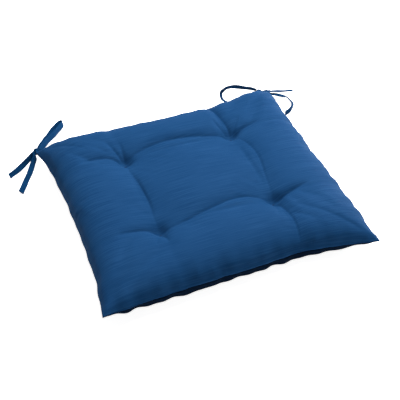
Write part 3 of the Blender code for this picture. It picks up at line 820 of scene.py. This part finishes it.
# %% Part the skin into an upper and a lower panel
ROLL = 0.00045
TURN_IN, TURN_DOWN = 0.0007, 0.00035  # the first, rolled strip of the turned edge
ALLOWANCE = 0.0070


def make_cover(name, side, nodes):
    bm = bmesh.new()
    bm.from_mesh(fine_skin)
    bmesh.ops.delete(bm, geom=[face for face in bm.faces if face.material_index != side], context="FACES")
    for face in bm.faces:
        face.material_index = 0
    away = 1 if side == 0 else -1
    rim = [edge for edge in bm.edges if edge.is_boundary]
    for vert in {vert for edge in rim for vert in edge.verts}:
        vert.co.z += away * ROLL
    for inward, toward in ((TURN_IN, TURN_DOWN), (ALLOWANCE, 0)):
        grown = bmesh.ops.extrude_edge_only(bm, edges=rim)["geom"]
        rim = [item for item in grown if isinstance(item, bmesh.types.BMEdge) and item.is_boundary]
        for vert in {vert for edge in rim for vert in edge.verts}:
            reach = max(abs(vert.co.x), abs(vert.co.y))
            vert.co.x -= vert.co.x / reach * inward
            vert.co.y -= vert.co.y / reach * inward
            vert.co.z -= away * toward
    cover = finish_piece(name, bm, "cover", nodes)
    wall = cover.modifiers.new("cloth thickness", "SOLIDIFY")
    wall.thickness = CLOTH
    wall.offset = -1
    return cover


covers = [
    make_cover("upper_cover", 0, ["top_panel", "fibre_filling"]),
    make_cover("lower_cover", 1, ["bottom_panel"]),
]

# %% [markdown]
# ## Stitches
#
# Four tack stitches of twine hold the tufts, each a short bar lying in its dimple with its ends going
# down through the pad. The seam itself is a row of short lockstitches that just shows between the
# panels.

# %% Sew the tufts and the seam
TWINE = 0.0012
SEAM_THREAD = 0.0006
STITCH_PITCH = 0.0034
STITCH_SHARE = 0.72  # a stitch's length, as a share of the pitch
STITCH_DEPTH = 0.0009  # how far behind the seam's edge the stitches lie
TACK_HALF = 0.0030  # half the length of a tuft's twine bar
CLOSING = 0.150  # how much of the rear seam is closed last, by hand
RING = 8


def add_bar(bm, start, end, diameter, sag):
    """A short stitch from one point to the other, bowed by sag."""
    stations = 6
    circle = bmesh.ops.create_circle(bm, cap_ends=True, segments=RING, radius=diameter / 2)["verts"]
    face = circle[0].link_faces[0]
    direction = (end - start).normalized()
    side = direction.cross(sag if sag.length else Vector((0, 0, 1))).normalized()
    turned = Matrix((side, direction.cross(side), direction)).transposed()
    for vert in circle:
        vert.co = start + turned @ vert.co
    current = face
    for station in range(1, stations + 1):
        share, before = station / stations, (station - 1) / stations
        step = (end - start) / stations
        step = step + sag * (4 * share * (1 - share) - 4 * before * (1 - before))
        grown = bmesh.ops.extrude_face_region(bm, geom=[current])["geom"]
        if current is not face:
            bmesh.ops.delete(bm, geom=[current], context="FACES_ONLY")
        current = next(item for item in grown if isinstance(item, bmesh.types.BMFace))
        bmesh.ops.translate(bm, verts=current.verts, vec=step)


TUFTS = {
    "front_left": (-TUFT, -TUFT),
    "front_right": (TUFT, -TUFT),
    "rear_left": (-TUFT, TUFT),
    "rear_right": (TUFT, TUFT),
}


def surface_height(x, y, upper_side):
    mask = (in_upper if upper_side else in_lower) & ~on_seam
    gap = np.hypot(carved[:, 0] - x, carved[:, 1] - y)
    gap[~mask] = 9
    return float(carved[np.argmin(gap), 2])


for place, (x, y) in TUFTS.items():
    top, bottom = surface_height(x, y, True), surface_height(x, y, False)
    bm = bmesh.new()
    for height, bow in ((top - 0.0002, 0.0006), (bottom + 0.0002, -0.0005)):
        start, end = Vector((x - TACK_HALF, y, height)), Vector((x + TACK_HALF, y, height))
        add_bar(bm, start, end, TWINE, Vector((0, 0, bow)))
    for end in (-TACK_HALF, TACK_HALF):
        low, high = Vector((x + end, y, bottom + 0.0003)), Vector((x + end, y, top - 0.0003))
        add_bar(bm, low, high, TWINE * 0.9, Vector((0, 0, 0)))
    bmesh.ops.recalc_face_normals(bm, faces=bm.faces)
    finish_piece(f"tuft_twine_{place}", bm, "thread", [f"tuft_stitch_{place}"])


def seam_route():
    """The seam's points in order round the pad, starting in the middle of the rear side."""
    rim = np.flatnonzero(on_seam)
    angle = np.arctan2(-u[rim], v[rim]) % math.tau
    return carved[rim[np.argsort(angle)]]


rim_points = seam_route()
loop = np.vstack([rim_points, rim_points[:1]])
steps = np.linalg.norm(np.diff(loop, axis=0), axis=1)
reached = np.concatenate([[0], np.cumsum(steps)])
rows = {"seam_stitches": bmesh.new(), "closing_stitches": bmesh.new()}
count = int(reached[-1] / STITCH_PITCH)
for index in range(count):
    middle = (index + 0.5) * reached[-1] / count
    half = STITCH_PITCH * STITCH_SHARE / 2
    ends = [middle - half, middle + half]
    a, b = [Vector([float(np.interp(s, reached, loop[:, axis])) for axis in range(3)]) for s in ends]
    inward = Vector((-a.x, -a.y, 0)).normalized() * STITCH_DEPTH
    closing = min(middle, reached[-1] - middle) < CLOSING / 2
    row = rows["closing_stitches" if closing else "seam_stitches"]
    add_bar(row, a + inward, b + inward, SEAM_THREAD, Vector((0, 0, 0)))
finish_piece("seam_stitches", rows["seam_stitches"], "thread", ["edge_seam_thread"])
finish_piece("closing_stitches", rows["closing_stitches"], "thread", ["closing_seam_thread"])
print(count, "stitches on", round(float(reached[-1]), 3), "m of seam")

# %% [markdown]
# ## Finishes
#
# All the cloth is one plain weave of slightly uneven yarn, so it is one node group: crossing yarns
# for the height, thicker yarns here and there, and a faint unevenness of dye. It reads the flat cloth
# map, so the yarns follow the cloth round the pad and along the ties.

# %% Build the weave
def new_group(name, inputs, outputs):
    group = bpy.data.node_groups.new(name, "ShaderNodeTree")
    for label, kind, value in inputs:
        socket = group.interface.new_socket(name=label, in_out="INPUT", socket_type=kind)
        if value is not None:
            socket.default_value = value
    for label, kind in outputs:
        group.interface.new_socket(name=label, in_out="OUTPUT", socket_type=kind)
    return group, group.nodes.new("NodeGroupInput"), group.nodes.new("NodeGroupOutput")


class Bench:
    """Adds nodes to a tree in a line or two each."""

    def __init__(self, tree):
        self.tree = tree

    def put(self, target, value):
        if isinstance(value, bpy.types.NodeSocket):
            self.tree.links.new(value, target)
        elif value is not None:
            target.default_value = value

    def maths(self, operation, a, b=None, clamp=False):
        node = self.tree.nodes.new("ShaderNodeMath")
        node.operation = operation
        node.use_clamp = clamp
        self.put(node.inputs[0], a)
        if b is not None:
            self.put(node.inputs[1], b)
        return node.outputs[0]

    def times(self, a, b):
        return self.maths("MULTIPLY", a, b)

    def plus(self, a, b, clamp=False):
        return self.maths("ADD", a, b, clamp)

    def stretch(self, vector, scale):
        node = self.tree.nodes.new("ShaderNodeVectorMath")
        node.operation = "MULTIPLY"
        self.put(node.inputs[0], vector)
        self.put(node.inputs[1], scale)
        return node.outputs[0]

    def noise(self, vector, scale, detail=2.0, rough=0.5):
        node = self.tree.nodes.new("ShaderNodeTexNoise")
        self.put(node.inputs["Vector"], vector)
        self.put(node.inputs["Scale"], scale)
        self.put(node.inputs["Detail"], detail)
        self.put(node.inputs["Roughness"], rough)
        return node.outputs["Fac"]

    def remap(self, value, low, high, new_low, new_high):
        node = self.tree.nodes.new("ShaderNodeMapRange")
        for target, given in zip(node.inputs[:5], (value, low, high, new_low, new_high)):
            self.put(target, given)
        return node.outputs[0]

    def split(self, vector):
        node = self.tree.nodes.new("ShaderNodeSeparateXYZ")
        self.put(node.inputs[0], vector)
        return node.outputs

    def mix(self, factor, a, b, blend="MIX"):
        node = self.tree.nodes.new("ShaderNodeMix")
        node.data_type = "RGBA"
        node.blend_type = blend
        self.put(node.inputs["Factor"], factor)
        self.put(node.inputs["A"], a)
        self.put(node.inputs["B"], b)
        return node.outputs["Result"]


def build_weave():
    group, given, result = new_group(
        "plain_weave",
        [
            ("Vector", "NodeSocketVector", None),
            ("Yarn", "NodeSocketFloat", 0.00055),
            ("Slub", "NodeSocketFloat", 1.0),
            ("Dark", "NodeSocketColor", (0, 0, 0, 1)),
            ("Light", "NodeSocketColor", (1, 1, 1, 1)),
        ],
        [("Colour", "NodeSocketColor"), ("Roughness", "NodeSocketFloat"), ("Height", "NodeSocketFloat")],
    )
    b = Bench(group)
    place, yarn, slub = given.outputs["Vector"], given.outputs["Yarn"], given.outputs["Slub"]
    drift = b.noise(place, 60.0)
    x, y, _ = b.split(place)
    wave = b.maths("DIVIDE", math.pi, yarn)
    warp = b.maths("SINE", b.times(b.plus(x, b.times(drift, 0.0006)), wave))
    weft = b.maths("SINE", b.times(b.plus(y, b.times(drift, 0.0005)), wave))
    crossing = b.times(warp, weft)
    long_streaks = b.noise(b.stretch(place, (16.0, 820.0, 1.0)), 1.0, 3.0, 0.6)
    fine_streaks = b.noise(b.stretch(place, (45.0, 1500.0, 1.0)), 1.0, 2.0, 0.5)
    cross_streaks = b.noise(b.stretch(place, (900.0, 22.0, 1.0)), 1.0, 2.0, 0.5)
    slubs = b.remap(long_streaks, 0.40, 0.68, 0.0, 1.0)
    height = b.times(crossing, 0.30)
    height = b.plus(height, b.times(b.times(slubs, slub), 0.65))
    height = b.plus(height, b.times(fine_streaks, 0.35))
    height = b.plus(height, b.times(cross_streaks, 0.18))
    dye = b.noise(place, 9.0, 3.0, 0.55)
    tone = b.times(slubs, 0.42)
    tone = b.plus(tone, b.times(fine_streaks, 0.34))
    tone = b.plus(tone, b.times(dye, 0.30))
    tone = b.plus(tone, b.times(crossing, 0.05), clamp=True)
    b.put(result.inputs["Colour"], b.mix(tone, given.outputs["Dark"], given.outputs["Light"]))
    b.put(result.inputs["Roughness"], b.remap(tone, 0.0, 1.0, 0.86, 0.72))
    b.put(result.inputs["Height"], height)
    return group


weave = build_weave()
print("weave has", len(weave.nodes), "nodes")

# %% Make the cloth, tie and thread finishes
def new_material(name, roughness, sheen, sheen_colour, specular):
    material = bpy.data.materials.new(name)
    material.use_nodes = True
    shader = material.node_tree.nodes["Principled BSDF"]
    shader.inputs["Roughness"].default_value = roughness
    shader.inputs["Sheen Weight"].default_value = sheen
    shader.inputs["Sheen Roughness"].default_value = 0.45
    shader.inputs["Sheen Tint"].default_value = (*sheen_colour, 1)
    shader.inputs["Specular IOR Level"].default_value = specular
    return material, Bench(material.node_tree), shader


def bump(bench, height, distance, strength, normal=None):
    node = bench.tree.nodes.new("ShaderNodeBump")
    bench.put(node.inputs["Height"], height)
    bench.put(node.inputs["Distance"], distance)
    bench.put(node.inputs["Strength"], strength)
    if normal is not None:
        bench.put(node.inputs["Normal"], normal)
    return node.outputs["Normal"]


def cloth_map(bench):
    node = bench.tree.nodes.new("ShaderNodeUVMap")
    node.uv_map = "cloth"
    return node.outputs["UV"]


def place_weave(bench, dark, light, slub):
    node = bench.tree.nodes.new("ShaderNodeGroup")
    node.node_tree = weave
    bench.put(node.inputs["Vector"], cloth_map(bench))
    node.inputs["Slub"].default_value = slub
    node.inputs["Dark"].default_value = (*dark, 1)
    node.inputs["Light"].default_value = (*light, 1)
    return node.outputs


def cover_finish(name, dark, light):
    material, bench, shader = new_material(name, 0.8, 0.02, (0.12, 0.42, 0.85), 0.03)
    woven = place_weave(bench, dark, light, 1.0)
    bench.put(shader.inputs["Base Color"], woven["Colour"])
    bench.put(shader.inputs["Roughness"], woven["Roughness"])
    bench.put(shader.inputs["Normal"], bump(bench, woven["Height"], 0.00028, 0.55))
    return material


TOPSTITCH_INSET = 0.0013  # how far the topstitching lies from a tie's edge
TOPSTITCH_PITCH = 0.0026
PLY_PITCH = 0.0007


def tie_finish():
    material, bench, shader = new_material("tie_cloth", 0.8, 0.02, (0.12, 0.42, 0.85), 0.03)
    woven = place_weave(bench, (0.0008, 0.022, 0.072), (0.0022, 0.034, 0.100), 0.4)
    along, across, _ = bench.split(cloth_map(bench))
    row = bench.maths("SUBTRACT", bench.maths("ABSOLUTE", across), TIE_WIDTH / 2 - TOPSTITCH_INSET)
    row = bench.remap(bench.maths("ABSOLUTE", row), 0.0, 0.00035, 1.0, 0.0)
    beat = bench.maths("SINE", bench.times(along, math.tau / TOPSTITCH_PITCH))
    stitch = bench.times(row, bench.remap(beat, -0.6, 0.2, 0.0, 1.0))
    shade = bench.times(row, 0.35)
    colour = bench.mix(shade, woven["Colour"], (0.001, 0.016, 0.060, 1))
    colour = bench.mix(bench.times(stitch, 0.7), colour, (0.006, 0.070, 0.190, 1))
    bench.put(shader.inputs["Base Color"], colour)
    bench.put(shader.inputs["Roughness"], woven["Roughness"])
    relief = bench.maths("SUBTRACT", stitch, bench.times(row, 0.8))
    normal = bump(bench, woven["Height"], 0.00022, 0.5)
    bench.put(shader.inputs["Normal"], bump(bench, relief, 0.00030, 0.8, normal))
    return material


def thread_finish():
    material, bench, shader = new_material("thread_ply", 0.6, 0.05, (0.12, 0.42, 0.85), 0.1)
    place = bench.tree.nodes.new("ShaderNodeTexCoord").outputs["Object"]
    x, y, z = bench.split(place)
    twist = bench.plus(bench.plus(x, y), bench.times(z, 1.4))
    plies = bench.maths("SINE", bench.times(twist, math.tau / PLY_PITCH))
    bench.put(shader.inputs["Base Color"], bench.mix(
        bench.remap(plies, -1.0, 1.0, 0.0, 1.0), (0.0010, 0.018, 0.064, 1), (0.0030, 0.034, 0.104, 1)))
    bench.put(shader.inputs["Roughness"], bench.remap(plies, -1.0, 1.0, 0.7, 0.5))
    bench.put(shader.inputs["Normal"], bump(bench, plies, 0.0001, 0.6))
    return material


finishes = {
    "cover": cover_finish("cover_cloth", (0.0010, 0.0250, 0.0830), (0.0135, 0.0610, 0.1610)),
    "tie": tie_finish(),
    "thread": thread_finish(),
}
# The lower panel's near-black colours are painted shade: they darken the underside that shows below the
# seam.
underside_painted_shade = cover_finish("underside_painted_shade_cloth", (0.0004, 0.004, 0.014), (0.0007, 0.008, 0.024))
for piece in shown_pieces():
    if "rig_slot" in piece:
        # The lower cover takes the near-black painted shade instead of the cover cloth's colours.
        finish = underside_painted_shade if piece.name == "lower_cover" else finishes[piece["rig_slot"]]
        piece.data.materials.clear()
        piece.data.materials.append(finish)
print("finishes:", ", ".join(finishes))

# %% [markdown]
# ## The studio
#
# A wide white floor runs out of view, and large soft lights leave no hard shadow. A white floor and a
# white sky would also light the pad from every side and flatten its puffs. So both look white to the
# camera but shine only weakly on the pad, and three lamps shape it: one overhead, one behind and to
# the right, and a low one on the right that lightens the pad's edge a little.

# %% Set the floor and the lights
FLOOR_REACH = 20
FLOOR_LIGHT, FLOOR_SEEN = 0.08, 0.92  # how strongly the floor glows on the pad, and to the camera
SKY_LIGHT, SKY_SEEN = 0.15, 1.0
bm = bmesh.new()
bmesh.ops.create_grid(bm, x_segments=1, y_segments=1, size=FLOOR_REACH)
bmesh.ops.translate(bm, verts=bm.verts, vec=(0, 0, -CLEARANCE))
floor_mesh = bpy.data.meshes.new("studio_floor")
bm.to_mesh(floor_mesh)
bm.free()
floor = new_object("studio_floor", floor_mesh)
paper, paper_bench, paper_shader = new_material("studio_paper", 0.9, 0.0, (1, 1, 1), 0.1)
paper_shader.inputs["Base Color"].default_value = (0.92, 0.92, 0.925, 1)
seen = paper_bench.tree.nodes.new("ShaderNodeLightPath").outputs["Is Camera Ray"]
glow = paper_bench.mix(seen, (*[FLOOR_LIGHT] * 3, 1), (*[FLOOR_SEEN] * 3, 1))
paper_bench.put(paper_shader.inputs["Emission Color"], glow)
paper_shader.inputs["Emission Strength"].default_value = 1.0
floor_mesh.materials.append(paper)

world = bpy.data.worlds.new("studio_sky")
bpy.context.scene.world = world
world.use_nodes = True
sky = world.node_tree.nodes["Background"]
sky.inputs["Color"].default_value = (1, 1, 1, 1)
sky_bench = Bench(world.node_tree)
seen = world.node_tree.nodes.new("ShaderNodeLightPath").outputs["Is Camera Ray"]
sky_bench.put(sky.inputs["Strength"], sky_bench.remap(seen, 0.0, 1.0, SKY_LIGHT, SKY_SEEN))

LIGHTS = {  # place, size across, power
    "main_light": ((0.9, 1.1, 1.4), 1.2, 22),
    "top_light": ((0.55, 0.42, 1.95), 1.3, 70),
    "rim_light": ((1.4, 0.7, 0.12), 0.5, 24),
}
for name, (place, across, power) in LIGHTS.items():
    lamp = bpy.data.lights.new(name, "AREA")
    lamp.shape = "DISK"
    lamp.size = across
    lamp.energy = power
    stand = new_object(name, lamp)
    stand.location = place
    stand.rotation_euler = (-Vector(place)).to_track_quat("-Z", "Y").to_euler()
bpy.context.scene.view_settings.view_transform = "Standard"
print(len(LIGHTS), "lights")
